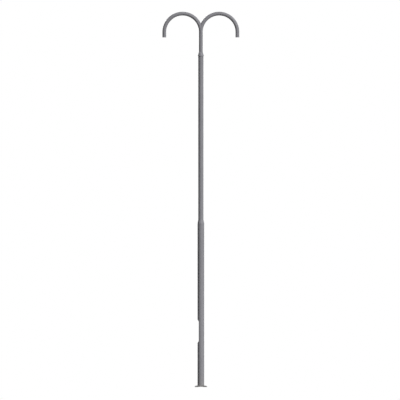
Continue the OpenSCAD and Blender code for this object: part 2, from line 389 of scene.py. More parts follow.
def makeZincFlakes():
    # the crystal flakes of hot-dip zinc, with ragged borders
    tree, given, result = newGroup("zincFlakes", {"Flake Size": 0.008, "Contrast": 0.12}, ["Shade", "Height"])
    place = objectPlace(tree)
    bent = addNode(tree, "ShaderNodeTexNoise", {"Vector": place, "Scale": 350.0, "Detail": 5.0})
    mixed = {0: 0.004, 4: place, 5: bent.outputs["Color"]}
    ragged = addNode(tree, "ShaderNodeMix", mixed, data_type="VECTOR")
    scale = doMath(tree, "DIVIDE", 1.0, given["Flake Size"])
    cells = addNode(tree, "ShaderNodeTexVoronoi", {"Vector": ragged.outputs[1], "Scale": scale})
    tone = addNode(tree, "ShaderNodeSeparateColor", {0: cells.outputs["Color"]}).outputs[0]
    centred = doMath(tree, "SUBTRACT", tone, 0.5)
    tree.links.new(doMath(tree, "MULTIPLY_ADD", centred, given["Contrast"], 1.0), result["Shade"])
    tree.links.new(doMath(tree, "MULTIPLY_ADD", tone, 0.6, scaledNoise(tree, 700.0)), result["Height"])
    return tree


def makeFineScratches():
    # short fine scratches, mostly along one direction
    tree, given, result = newGroup("fineScratches", {"Width": 0.0004, "Amount": 0.5}, ["Mask"])
    lines = scaledNoise(tree, doMath(tree, "DIVIDE", 1.0, given["Width"]), 2.0, stretch=(0.03, 1, 1))
    tree.links.new(doMath(tree, "MULTIPLY", mapTo(tree, lines, 0.45, 0.75), given["Amount"]), result["Mask"])
    return tree


toneDrift = makeToneDrift()
orangePeel = makeOrangePeel()
rainStreaks = makeRainStreaks()
groundDustAndShade = makeGroundDustAndShade()
edgeWear = makeEdgeWear()
zincFlakes = makeZincFlakes()
fineScratches = makeFineScratches()


# Finishes: each puts its own values into the shared effects

def newMaterial(name):
    material = bpy.data.materials.new(name)
    material.use_nodes = True
    tree = material.node_tree
    return material, tree, tree.nodes["Principled BSDF"]


bareSteel = (0.40, 0.41, 0.42, 1)
dryDust = (0.28, 0.26, 0.23, 1)


def paintedSteel(name, paint):
    material, tree, shader = newMaterial(name)
    drift = useGroup(tree, toneDrift, patchSize=paint["patchSize"], strength=paint["patchStrength"])
    peel = useGroup(tree, orangePeel, bumpSize=paint["peelSize"])
    streaks = useGroup(tree, rainStreaks, width=paint["streakWidth"], cover=paint["streakCover"])
    dustAndShade = useGroup(tree, groundDustAndShade, height=paint["dustAndShadeHeight"], speckleSize=0.004)
    wear = useGroup(tree, edgeWear, reach=paint["wearReach"], chipSize=0.006)
    washed = doMath(tree, "MULTIPLY_ADD", streaks["Mask"], -paint["streakStrength"], 1.0)
    dimpled = doMath(tree, "MULTIPLY_ADD", peel["Gloss"], 0.06, 0.97)
    shade = doMath(tree, "MULTIPLY", doMath(tree, "MULTIPLY", drift["Shade"], washed), dimpled)
    # on the base plate and the welds at the foot the dust colour is darker than the paint, so this blend is
    # painted shade near the floor as well as dirt
    dirtAndShade = doMath(tree, "MULTIPLY", dustAndShade["Mask"], paint["dustAndShadeStrength"])
    dustyAndShaded = blendColour(tree, dirtAndShade, tint(tree, paint["colour"], shade), (*paint["dustAndShadeColour"], 1))
    tree.links.new(blendColour(tree, wear["Mask"], dustyAndShaded, bareSteel), shader.inputs["Base Color"])
    rough = doMath(tree, "MULTIPLY_ADD", peel["Gloss"], 0.05, paint["roughness"])
    rough = doMath(tree, "MULTIPLY_ADD", streaks["Mask"], 0.10, rough)
    rough = doMath(tree, "MULTIPLY_ADD", dustAndShade["Mask"], 0.35, rough, clamp=True)
    tree.links.new(rough, shader.inputs["Roughness"])
    tree.links.new(doMath(tree, "MULTIPLY", wear["Mask"], 0.8), shader.inputs["Metallic"])
    height = doMath(tree, "SUBTRACT", peel["Height"], doMath(tree, "MULTIPLY", wear["Mask"], 1.2))
    addBump(tree, shader, height, paint["peelDepth"])
    shader.inputs["Specular IOR Level"].default_value = paint["specular"]
    return material


def zincSteel(name, zinc):
    material, tree, shader = newMaterial(name)
    flakes = useGroup(tree, zincFlakes, flakeSize=zinc["flakeSize"], contrast=zinc["contrast"])
    drift = useGroup(tree, toneDrift, patchSize=0.05, strength=0.10)
    dustAndShade = useGroup(tree, groundDustAndShade, height=zinc["dustAndShadeHeight"], speckleSize=0.003)
    shade = doMath(tree, "MULTIPLY", flakes["Shade"], drift["Shade"])
    dirtAndShade = doMath(tree, "MULTIPLY", dustAndShade["Mask"], 0.6)
    dustyAndShaded = blendColour(tree, dirtAndShade, tint(tree, zinc["colour"], shade), dryDust)
    tree.links.new(dustyAndShaded, shader.inputs["Base Color"])
    rough = doMath(tree, "MULTIPLY_ADD", drift["Shade"], 0.25, zinc["roughness"] - 0.25)
    rough = doMath(tree, "MULTIPLY_ADD", dustAndShade["Mask"], 0.3, rough, clamp=True)
    tree.links.new(rough, shader.inputs["Roughness"])
    metal = doMath(tree, "MULTIPLY_ADD", dustAndShade["Mask"], -0.4, zinc["metallic"], clamp=True)
    tree.links.new(metal, shader.inputs["Metallic"])
    addBump(tree, shader, flakes["Height"], 0.00004)
    return material


def brightMetal(name, metal):
    material, tree, shader = newMaterial(name)
    scratches = useGroup(tree, fineScratches, width=metal["scratchWidth"], amount=metal["scratches"])
    drift = useGroup(tree, toneDrift, patchSize=0.006, strength=metal["tarnish"])
    wear = useGroup(tree, edgeWear, reach=0.8, chipSize=0.001)
    polished = doMath(tree, "MULTIPLY", wear["Mask"], 0.4)
    colour = blendColour(tree, polished, tint(tree, metal["colour"], drift["Shade"]), metal["edgeColour"])
    tree.links.new(colour, shader.inputs["Base Color"])
    rough = doMath(tree, "MULTIPLY_ADD", scratches["Mask"], 0.2, metal["roughness"])
    tree.links.new(rough, shader.inputs["Roughness"])
    addBump(tree, shader, scratches["Mask"], 0.00002, 0.6)
    shader.inputs["Metallic"].default_value = 1.0
    return material


poleGrey = paintedSteel("poleGrey", {
    "colour": (0.245, 0.243, 0.260), "roughness": 0.48, "specular": 0.08,
    "patchSize": 0.45, "patchStrength": 0.045, "peelSize": 0.0024, "peelDepth": 0.00009,
    "streakWidth": 0.012, "streakCover": 0.5, "streakStrength": 0.13,
    "dustAndShadeHeight": 0.45, "dustAndShadeStrength": 0.25, "dustAndShadeColour": (0.29, 0.27, 0.24), "wearReach": 0.42})
# the welds' dust colour is darker than their paint: near the floor it is painted shade as well as dirt
weldGrey = paintedSteel("weldGrey", {
    "colour": (0.226, 0.224, 0.238), "roughness": 0.48, "specular": 0.15,
    "patchSize": 0.02, "patchStrength": 0.06, "peelSize": 0.0012, "peelDepth": 0.00010,
    "streakWidth": 0.006, "streakCover": 0.6, "streakStrength": 0.12,
    "dustAndShadeHeight": 0.40, "dustAndShadeStrength": 0.45, "dustAndShadeColour": (0.17, 0.16, 0.145), "wearReach": 0.0})
# the plate's paint is darker than the pole's, and its dust darker still: painted shade on the foot, besides
# the dirt
shadedPlateGrey = paintedSteel("shadedPlateGrey", {
    "colour": (0.225, 0.223, 0.232), "roughness": 0.50, "specular": 0.15,
    "patchSize": 0.10, "patchStrength": 0.06, "peelSize": 0.0022, "peelDepth": 0.00010,
    "streakWidth": 0.010, "streakCover": 0.2, "streakStrength": 0.05,
    "dustAndShadeHeight": 0.16, "dustAndShadeStrength": 0.65, "dustAndShadeColour": (0.17, 0.16, 0.145), "wearReach": 0.52})
innerZinc = zincSteel("innerZinc", {
    "colour": (0.33, 0.335, 0.345), "roughness": 0.62, "metallic": 0.55,
    "flakeSize": 0.009, "contrast": 0.15, "dustAndShadeHeight": 0.8})
fittingZinc = zincSteel("fittingZinc", {
    "colour": (0.46, 0.465, 0.475), "roughness": 0.48, "metallic": 0.80,
    "flakeSize": 0.005, "contrast": 0.17, "dustAndShadeHeight": 0.5})
boltSteel = brightMetal("boltSteel", {
    "colour": (0.52, 0.51, 0.49), "edgeColour": (0.68, 0.67, 0.65, 1), "roughness": 0.30,
    "scratches": 0.6, "scratchWidth": 0.0004, "tarnish": 0.08})
screwSteel = brightMetal("screwSteel", {
    "colour": (0.20, 0.20, 0.205), "edgeColour": (0.32, 0.32, 0.32, 1), "roughness": 0.52,
    "scratches": 0.4, "scratchWidth": 0.0003, "tarnish": 0.12})
earthBrass = brightMetal("earthBrass", {
    "colour": (0.56, 0.40, 0.17), "edgeColour": (0.78, 0.60, 0.28, 1), "roughness": 0.34,
    "scratches": 0.5, "scratchWidth": 0.0005, "tarnish": 0.16})
print("materials made")


def finishPiece(obj, material, slot, *nodes):
    if not obj.data.materials:
        obj.data.materials.append(material)
    fixPlace(obj)
    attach(obj, "root")
    if nodes:
        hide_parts(*nodes)
    print(obj.name, "made,", len(obj.data.polygons), "faces")


def poleAxis(point):
    return Vector((0, 0, point.z))


def finishTube(obj, node, middle=poleAxis):
    # painted, but bare zinc where a face looks towards the tube's middle line
    inward = -0.7
    obj.data.materials.append(poleGrey)
    obj.data.materials.append(innerZinc)
    for face in obj.data.polygons:
        away = face.center - middle(face.center)
        if away.length and away.dot(face.normal) < inward * away.length:
            face.material_index = 1
    finishPiece(obj, poleGrey, "pole_paint", node)


# Base plate: a flange and a pressed dome turned in one, then trimmed to a square that stands on its corners
basePlate = {"side": 0.300, "cornerRadius": 0.015, "thickness": 0.012, "seatRadius": 0.0935,
             "domeRadius": 0.1645, "rise": 0.024, "boltSpacing": 0.250, "boltHole": 0.011,
             "edgeRound": 0.0008, "around": 96}


def roundedSquare(side, corner, low, high):
    square = block("square", (-side / 2, -side / 2, low), (side / 2, side / 2, high))
    editThis(square)
    bpy.ops.mesh.select_mode(type="EDGE")
    bpy.ops.mesh.select_all(action="DESELECT")
    leaveEdit()
    for edge in square.data.edges:
        a, b = (square.data.vertices[i].co for i in edge.vertices)
        edge.select = abs(a.z - b.z) > (high - low) / 2
    bpy.ops.object.mode_set(mode="EDIT")
    bpy.ops.mesh.bevel(offset=corner, segments=10)
    leaveEdit()
    return square


def makeBasePlate(plate):
    hole, thick, rise = tubes["lower"], plate["thickness"], plate["rise"]
    reach = plate["domeRadius"] - plate["seatRadius"]
    under = [(plate["domeRadius"] - reach * t, rise * sin(pi / 2 * t)) for t in spread(0, 1, 12)]
    over = [(r, z + thick) for r, z in under]
    # the flange is turned wide enough for the square's corners
    flange = plate["side"] * 0.75
    outline = [(hole, rise)] + under[::-1] + [(flange, 0), (flange, thick)] + over + [(hole, rise + thick)]
    obj = turnOutline("basePlate", outline, plate["around"])
    toolLow, toolHigh, drillMiddle = -0.02, 0.08, 0.01
    trimWith(obj, roundedSquare(plate["side"], plate["cornerRadius"], toolLow, toolHigh), "INTERSECT")
    for x in (-0.5, 0.5):
        for y in (-0.5, 0.5):
            middle = (x * plate["boltSpacing"], y * plate["boltSpacing"], drillMiddle)
            trimWith(obj, upright(plate["boltHole"], toolHigh - toolLow, middle, 48))
    # the flat corners become plain faces again
    pickVerts(obj, lambda v: min(abs(v.co.z), abs(v.co.z - thick)) < 0.00001)
    bpy.ops.mesh.dissolve_limited(angle_limit=radians(0.5))
    leaveEdit()
    roundEdges(obj, plate["edgeRound"])
    finishPiece(obj, shadedPlateGrey, "pole_paint", "base_plate")


makeBasePlate(basePlate)

# Ring welds: toe is the point of the outline where the bead's face starts
beadSteps = 8  # steps across a face
fullness = 0.12  # how far a fillet's face bulges, as a share of its leg
filletWeld = {"pitch": 0.0046, "depth": 0.00040, "lag": 0.7, "toe": 1}
seamWeld = {"pitch": 0.0042, "depth": 0.00028, "lag": 0.8, "toe": 3,
            "width": 0.010, "crown": 0.0014, "gap": 0.002, "sunk": 0.0002}
collarFillet = {"pitch": 0.0036, "depth": 0.00022, "lag": 0.7, "toe": 1}


def filletOutline(radius, z, leg, up=1):
    # the corner first, then the slightly full face from the toe on the plate to the toe on the tube
    points = [(radius, z)]
    for t in spread(0, 1, beadSteps):
        full = fullness * leg * sin(pi * t)
        points.append((radius + leg * (1 - t) + full, z + up * (leg * t + full)))
    return points


def seamOutline(outer, inner, z, weld):
    # the gap's inner end first, then the crowned face over its outer end
    low, high, foot = z - weld["gap"] / 2, z + weld["gap"] / 2, outer - weld["sunk"]
    points = [(inner, high), (inner, low), (foot, low)]
    for t in spread(0, 1, beadSteps):
        points.append((foot + (weld["crown"] + weld["sunk"]) * sin(pi * t), z + weld["width"] * (t - 0.5)))
    return points + [(foot, high)]


def makeRingWeld(name, node, outline, weld):
    # a ripple takes four steps round the ring, and the third and fourth are pulled in
    ripples = round(2 * pi * outline[0][0] / weld["pitch"])
    around = ripples * 4
    obj = turnOutline(name, outline, around)
    toe = weld["toe"]
    picks = {p: [] for p in range(toe + 1, toe + beadSteps)}
    for v in obj.data.vertices:
        r = hypot(v.co.x, v.co.y)
        near = min(range(len(outline)), key=lambda p: hypot(r - outline[p][0], v.co.z - outline[p][1]))
        if near in picks:
            step = round(atan2(v.co.y, v.co.x) / (2 * pi) * around) % 4
            picks[near].append((v.index, step))
    for pulled, share in ((2, 1), (3, 0.45)):
        chosen = {i for group in picks.values() for i, step in group if step == pulled}
        pickVerts(obj, lambda v: v.index in chosen)
        bpy.ops.transform.shrink_fatten(value=-weld["depth"] * share)
    for p, group in picks.items():
        # the middle of the bead lags behind its toes, which bends each ripple to a crescent
        bulge = 1 - ((p - toe) / beadSteps * 2 - 1) ** 2
        chosen = {i for i, step in group}
        pickVerts(obj, lambda v: v.index in chosen)
        turn = bulge * weld["lag"] * 2 * pi / ripples
        bpy.ops.transform.rotate(value=turn, orient_axis="Z", center_override=(0, 0, 0))
    leaveEdit()
    onlyThis(obj)
    bpy.ops.object.shade_smooth_by_angle(angle=radians(50))
    finishPiece(obj, weldGrey, "painted_weld", node)


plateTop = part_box("base_weld")[0].z
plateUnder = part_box("foot_weld")[1].z
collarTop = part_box("collar_weld")[0].z
makeRingWeld("baseWeld", "base_weld", filletOutline(tubes["lower"], plateTop, leg=0.009), filletWeld)
makeRingWeld("footWeld", "foot_weld", filletOutline(tubes["lower"], plateUnder, leg=0.007, up=-1), filletWeld)
for seam, tube in (("lower", "lower"), ("upper", "middle"), ("stem", "stem")):
    node = seam + "_seam_weld"
    outline = seamOutline(tubes[tube], tubes[tube + "Bore"], middleHeight(node), seamWeld)
    makeRingWeld(seam + "SeamWeld", node, outline, seamWeld)
makeRingWeld("collarWeld", "collar_weld", filletOutline(tubes["stem"], collarTop, leg=0.004), collarFillet)


# Beads laid along a line: a round cord whose thickness swells and sinks with each ripple

def evenPoints(points, step, closed):
    # walks the line and drops a point at every step
    line = [Vector(p) for p in points] + ([Vector(points[0])] if closed else [])
    length = sum((b - a).length for a, b in zip(line, line[1:]))
    count = max(8, 4 * round(length / step / 4))
    out, walked, target = [], 0.0, 0.0
    for a, b in zip(line, line[1:]):
        part = (b - a).length
        while target <= walked + part and len(out) < count:
            out.append(a.lerp(b, (target - walked) / part))
            target += length / count
        walked += part
    return out


def makeBead(name, points, bead, closed=False):
    sinking, endSize = (0, 0.25, 1, 0.5), 0.45
    even = evenPoints(points, bead["pitch"] / 4, closed)
    pickNone()
    bpy.ops.curve.primitive_nurbs_path_add()
    obj = bpy.context.active_object
    obj.name = obj.data.name = name
    obj.data.splines.clear()
    spline = obj.data.splines.new("POLY")
    spline.points.add(len(even) - 1)
    for i, (point, place) in enumerate(zip(spline.points, even)):
        point.co = (*place, 1)
        point.radius = 1 - bead["swell"] * sinking[i % 4]
        if not closed and i in (0, len(even) - 1):
            point.radius = endSize
    spline.use_cyclic_u = closed
    obj.data.dimensions = "3D"
    obj.data.bevel_depth = bead["radius"]
    obj.data.bevel_resolution = 3
    obj.data.use_fill_caps = not closed
    onlyThis(obj)
    bpy.ops.object.convert(target="MESH")
    obj = bpy.context.active_object
    mergeClose(obj)
    faceOut(obj)
    bpy.ops.object.shade_smooth_by_angle(angle=radians(60))
    return obj


# Lower shaft: a turned tube with the hand hole cut out, in closer rings beside it
lowerShaft = {"holeWidth": 0.130, "holeHeight": 0.565, "margin": 0.02, "around": 144}
hatchLow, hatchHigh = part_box("hatch_frame")
hatchMiddle = middleHeight("hatch_frame")


def turnTube(name, tube, heights, around):
    outer, inner = tubes[tube], tubes[tube + "Bore"]
    outline = [(outer, z) for z in heights] + [(inner, z) for z in reversed(heights)]
    return turnOutline(name, outline, around)


def makeLowerShaft(shaft):
    low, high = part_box("lower_shaft")
    margin = shaft["margin"]
    heights = spread(low.z, hatchLow.z - 2 * margin, 6)
    heights += spread(hatchLow.z - margin, hatchHigh.z + margin, 30)
    heights += spread(hatchHigh.z + 2 * margin, high.z, 12)
    obj = turnTube("lowerShaft", "lower", heights, shaft["around"])
    front = -2 * tubes["lower"]
    trimWith(obj, slotBlock("slot", shaft["holeWidth"], shaft["holeHeight"], front, 0, hatchMiddle))
    smoothFaces(obj)
    finishTube(obj, "lower_shaft")


makeLowerShaft(lowerShaft)


def drum(radius, low, high):
    # solid core with as many sides as the lower shaft
    outline = [(0, low), (radius, low), (radius, high), (0, high)]
    return turnOutline("drum", outline, lowerShaft["around"], closed=False)


# Flat bar frame of the hand hole, flush with the shaft
hatchFrame = {"width": 0.130, "height": 0.565, "bar": 0.004, "edgeRound": 0.0007}


def makeHatchFrame(bar):
    front, back, above = -0.10, hatchHigh.x, 5 * toolReach
    obj = slotBlock("hatchFrame", bar["width"], bar["height"], front, back, hatchMiddle, 40)
    width, height = bar["width"] - 2 * bar["bar"], bar["height"] - 2 * bar["bar"]
    inner = slotBlock("inner", width, height, front - 2 * toolReach, back + 2 * toolReach, hatchMiddle, 40)
    trimWith(obj, inner)
    trimWith(obj, drum(tubes["lower"], hatchLow.z - above, hatchHigh.z + above), "INTERSECT")
    roundEdges(obj, bar["edgeRound"])
    finishPiece(obj, poleGrey, "pole_paint", "hatch_frame")


makeHatchFrame(hatchFrame)

# Dressed weld between the frame and the shaft
frameBead = {"radius": 0.0030, "pitch": 0.0036, "sunk": 0.0023, "swell": 0.08}


def makeFrameWeld(bead):
    half, reach = hatchFrame["width"] / 2, (hatchFrame["height"] - hatchFrame["width"]) / 2
    surface = tubes["lower"] - bead["sunk"]
    line = []
    for end in (1, -1):
        for t in spread(0, 1, 48):
            line.append((end * cos(pi * t) * half, end * (reach + sin(pi * t) * half)))
        line += [(-end * half, end * reach * s) for s in spread(0.96, -0.96, 48)]
    points = [(-sqrt(surface ** 2 - y ** 2), y, hatchMiddle + z) for y, z in line]
    finishPiece(makeBead("hatchFrameWeld", points, bead, closed=True), weldGrey, "painted_weld")


makeFrameWeld(frameBead)

# Screw threads and hexagons: a thread's shape is in shares of its pitch, and its play in metres
threadShape = {"depth": 0.61, "crestFrom": 0.44, "crestTo": 0.56, "start": -1.37, "around": 28,
               "play": 0.00005}
hexShape = {"face": 0.96, "slope": 0.55, "spare": 0.0001, "lip": 0.0004, "around": 72}


def makeThread(name, diameter, pitch, length):
    # the outline of one tooth, wound up the axis and cut to length
    shape = threadShape
    root, crest = diameter / 2 - shape["depth"] * pitch, diameter / 2 - shape["play"]
    start = shape["start"] * pitch
    crestFrom, crestTo = start + pitch * shape["crestFrom"], start + pitch * shape["crestTo"]
    tooth = [(root, 0, start), (crest, 0, crestFrom), (crest, 0, crestTo), (root, 0, start + pitch)]
    obj = drawOutline(name, tooth, closed=False)
    wind = obj.modifiers.new("wind", "SCREW")
    wind.axis = "Z"
    wind.angle = 2 * pi
    wind.screw_offset = pitch
    wind.iterations = int(length / pitch) + 3
    wind.steps = wind.render_steps = shape["around"]
    applyModifier(obj, wind)
    mergeClose(obj, fineMerge)
    editAll(obj)
    bpy.ops.mesh.quads_convert_to_tris()
    for z, side in ((0, "clear_inner"), (length, "clear_outer")):
        bpy.ops.mesh.select_all(action="SELECT")
        bpy.ops.mesh.bisect(plane_co=(0, 0, z), plane_no=(0, 0, 1), **{side: True})
    bpy.ops.mesh.select_all(action="SELECT")
    bpy.ops.mesh.remove_doubles(threshold=fineMerge)
    bpy.ops.mesh.select_all(action="SELECT")
    bpy.ops.mesh.fill_holes(sides=0)
    leaveEdit()
    faceOut(obj)
    return obj


def makeHex(name, acrossFlats, height, bore=0):
    # a turned disc with both rims chamfered, trimmed to six flats
    corner, face, lip = acrossFlats / sqrt(3), acrossFlats / 2 * hexShape["face"], hexShape["lip"]
    chamfer, wide = (corner - face) * hexShape["slope"], corner + hexShape["spare"]
    outline = [(face, 0), (wide, chamfer), (wide, height - chamfer), (face, height)]
    if bore:
        outline = [(bore, lip), (bore + lip, 0)] + outline + [(bore + lip, height), (bore, height - lip)]
    else:
        outline = [(0, 0)] + outline + [(0, height)]
    obj = turnOutline(name, outline, hexShape["around"], closed=bool(bore))
    trimWith(obj, upright(corner, height * 3, (0, 0, height / 2), 6), "INTERSECT")
    return obj


# Door straps: flat bars welded across the back of the frame, each with a tapped hole
doorStrap = {"tapped": 0.008, "pitch": 0.00125, "tapStart": 0.003, "tapLength": 0.012, "edgeRound": 0.0006}
strapBead = {"radius": 0.0021, "pitch": 0.0034, "swell": 0.14, "side": 0.0640, "reach": 0.009,
             "proud": 0.0006}


def makeDoorStraps(strap, bead):
    low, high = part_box("upper_door_strap")
    z = middleHeight("upper_door_strap")
    upper = block("upperDoorStrap", low, high)
    roundEdges(upper, strap["edgeRound"])
    tap = makeThread("tap", strap["tapped"], strap["pitch"], strap["tapLength"])
    moveTo(tap, (low.x - strap["tapStart"], 0, z), alongX)
    trimWith(upper, tap, merge=fineMerge)
    smoothFaces(upper)
    lower = copyOf(upper, "lowerDoorStrap")
    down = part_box("lower_door_strap")[0].z - low.z
    moveTo(lower, (0, 0, down))
    finishPiece(upper, fittingZinc, "zinc_steel", "upper_door_strap")
    finishPiece(lower, fittingZinc, "zinc_steel", "lower_door_strap")
    for name, height in (("upper", z), ("lower", z + down)):
        for side, y in (("Left", -bead["side"]), ("Right", bead["side"])):
            line = [(low.x + bead["proud"], y, height + t * bead["reach"]) for t in (-1, 0, 1)]
            finishPiece(makeBead(name + "Strap" + side + "Weld", line, bead), weldGrey, "painted_weld")


makeDoorStraps(doorStrap, strapBead)

# Equipment rail for the cut-out unit: flat bar with two slots, bolted to two folded brackets
equipmentRail = {"slotWidth": 0.009, "slotHeight": 0.030, "slotSpacing": 0.180, "boltHole": 0.004,
                 "edgeRound": 0.0006}
railBracket = {"wide": 0.030, "tall": 0.040, "sheet": 0.004, "insideBend": 0.0025, "edgeRound": 0.0004}
bracketBead = {"radius": 0.0024, "pitch": 0.0036, "swell": 0.14, "sunk": 0.001, "inset": 0.002,
               "lift": 0.0008}
railLow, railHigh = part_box("equipment_rail")
bracketHeights = [middleHeight(node) for node in ("lower_rail_bracket", "upper_rail_bracket")]


def makeEquipmentRail(rail):
    obj = block("equipmentRail", railLow, railHigh)
    front, back = railLow.x - toolReach, railHigh.x + toolReach
    for side in (-0.5, 0.5):
        z = middleHeight("equipment_rail") + side * rail["slotSpacing"]
        trimWith(obj, slotBlock("slot", rail["slotWidth"], rail["slotHeight"], front, back, z, 16))
    for z in bracketHeights:
        trimWith(obj, rod(rail["boltHole"], front, back, z, 32))
    roundEdges(obj, rail["edgeRound"])
    finishPiece(obj, fittingZinc, "zinc_steel", "equipment_rail")


def makeRailBrackets(bracket, bead):
    x, z, half = railHigh.x, bracketHeights[1], bracket["wide"] / 2
    top, foot = z + bracket["tall"] / 2, z - bracket["tall"] / 2
    sheet, bend = bracket["sheet"], bracket["insideBend"]
    outer = bend + sheet
    foldX, foldZ = x + outer, foot + outer
    side = [(x, top), (x + sheet, top)]
    side += [(foldX - bend * cos(t), foldZ - bend * sin(t)) for t in spread(0, pi / 2, 8)]
    side += [(tubes["lower"], foot + sheet), (tubes["lower"], foot)]
    side += [(foldX - outer * cos(t), foldZ - outer * sin(t)) for t in spread(pi / 2, 0, 10)]
    upper = drawOutline("upperRailBracket", [(px, -half, pz) for px, pz in side])
    pullOutline(upper, (0, bracket["wide"], 0))
    trimWith(upper, drum(tubes["lowerBore"], z - 5 * toolReach, z + 5 * toolReach), "INTERSECT")
    trimWith(upper, rod(equipmentRail["boltHole"], x - toolReach, x + 2 * toolReach, z, 32))
    roundEdges(upper, bracket["edgeRound"])
    lower = copyOf(upper, "lowerRailBracket")
    moveTo(lower, (0, 0, bracketHeights[0] - z))
    finishPiece(upper, fittingZinc, "zinc_steel", "upper_rail_bracket")
    finishPiece(lower, fittingZinc, "zinc_steel", "lower_rail_bracket")
    surface, end = tubes["lowerBore"] - bead["sunk"], half - bead["inset"]
    for name, height in zip(("lower", "upper"), bracketHeights):
        level = height - z + foot + sheet + bead["lift"]
        line = [(sqrt(surface ** 2 - y ** 2), y, level) for y in spread(-end, end, 12)]
        finishPiece(makeBead(name + "BracketWeld", line, bead), weldGrey, "painted_weld")


makeEquipmentRail(equipmentRail)
makeRailBrackets(railBracket, bracketBead)

# Rail bolts and nuts, modelled once along Z and then laid along X
railBolt = {"diameter": 0.008, "pitch": 0.00125, "acrossFlats": 0.013, "headHeight": 0.0053,
            "nutHeight": 0.0065, "overlap": 0.001}


def makeRailBolts(bolt):
    low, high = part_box("upper_rail_bolt")
    head, overlap = bolt["headHeight"], bolt["overlap"]
    upper = makeHex("upperRailBolt", bolt["acrossFlats"], head)
    shank = makeThread("shank", bolt["diameter"], bolt["pitch"], high.x - low.x - head + overlap)
    moveTo(shank, (0, 0, head - overlap))
    trimWith(upper, shank, "UNION", fineMerge)
    smoothFaces(upper, 30)
    nut = makeHex("upperRailNut", bolt["acrossFlats"], bolt["nutHeight"], bolt["diameter"] / 2)
    smoothFaces(nut, 30)
    moveTo(nut, (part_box("upper_rail_nut")[0].x, 0, bracketHeights[1]), alongX)
    moveTo(upper, (low.x, 0, bracketHeights[1]), alongX)
    lower, lowerNut = copyOf(upper, "lowerRailBolt"), copyOf(nut, "lowerRailNut")
    for obj in (lower, lowerNut):
        moveTo(obj, (0, 0, bracketHeights[0] - bracketHeights[1]))
    finishPiece(upper, boltSteel, "stainless", "upper_rail_bolt")
    finishPiece(lower, boltSteel, "stainless", "lower_rail_bolt")
    finishPiece(nut, boltSteel, "stainless", "upper_rail_nut")
    finishPiece(lowerNut, boltSteel, "stainless", "lower_rail_nut")


makeRailBolts(railBolt)

# Earth terminal on the back wall
earthPoint = {"diameter": 0.010, "pitch": 0.0015, "acrossFlats": 0.016, "edgeRound": 0.0003}


def makeEarthPoint(earth):
    low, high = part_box("earth_stud")
    z, bore = middleHeight("earth_stud"), earth["diameter"] / 2
    stud = makeThread("earthStud", earth["diameter"], earth["pitch"], high.x - low.x)
    smoothFaces(stud, 30)
    moveTo(stud, (low.x, 0, z), alongX)
    finishPiece(stud, earthBrass, "earth_brass", "earth_stud")
    low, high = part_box("earth_washer")
    thick, rim = high.x - low.x, (high.z - low.z) / 2
    washer = turnOutline("earthWasher", [(bore, 0), (rim, 0), (rim, thick), (bore, thick)], 64)
    roundEdges(washer, earth["edgeRound"])
    moveTo(washer, (low.x, 0, z), alongX)
    finishPiece(washer, earthBrass, "earth_brass", "earth_washer")
    low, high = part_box("earth_nut")
    nut = makeHex("earthNut", earth["acrossFlats"], high.x - low.x, bore)
    smoothFaces(nut, 30)
    moveTo(nut, (low.x, 0, z), alongX)
    finishPiece(nut, earthBrass, "earth_brass", "earth_nut")


makeEarthPoint(earthPoint)

# Reducer: swaged in an S from the lower to the middle shaft
reducer = {"steps": 28, "around": 144}


def makeReducer(part):
    low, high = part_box("reducer")

    def curve(lower, upper):
        shares = spread(0, 1, part["steps"])
        return [(lower + (upper - lower) * ease(t), low.z + (high.z - low.z) * t) for t in shares]

    outer = curve(tubes["lower"], tubes["middle"])
    inner = curve(tubes["lowerBore"], tubes["middleBore"])
    obj = turnOutline("swagedReducer", outer + inner[::-1], part["around"])
    smoothFaces(obj, 40)
    finishTube(obj, "reducer")


makeReducer(reducer)

# Middle shaft, with three spot-faced screw holes near its top
middleShaft = {"screwHole": 0.005, "spotFace": 0.00885, "seat": 0.0611, "drillFrom": 0.03, "drillTo": 0.08,
               "ringsTo": 0.03, "ringsFrom": 0.02, "edgeRound": 0.0008, "around": 128}
screwHeight = middleHeight("bracket_screw_1")
screwTurns = [pi, pi * 5 / 3, pi / 3]


def makeMiddleShaft(shaft):
    low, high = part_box("middle_shaft")
    last, first = screwHeight - shaft["ringsTo"], screwHeight - shaft["ringsFrom"]
    heights = spread(low.z, last, 14) + spread(first, high.z, 5)
    obj = turnTube("middleShaft", "middle", heights, shaft["around"])
    for turn in screwTurns:
        for radius, start in ((shaft["screwHole"], shaft["drillFrom"]), (shaft["spotFace"], shaft["seat"])):
            drill = rod(radius, start, shaft["drillTo"], screwHeight, 40)
            moveTo(drill, (0, 0, 0), (0, 0, turn))
            trimWith(obj, drill)
    roundEdges(obj, shaft["edgeRound"], angle=40)
    finishTube(obj, "middle_shaft")


makeMiddleShaft(middleShaft)

# Button-head screws that clamp the bracket's spigot
bracketScrew = {"head": 0.00875, "headHeight": 0.0055, "rim": 0.0006, "rimInset": 0.0003, "shank": 0.005,
                "pitch": 0.0015, "tip": 0.047, "overlap": 0.001, "socket": 0.006, "socketDepth": 0.003}


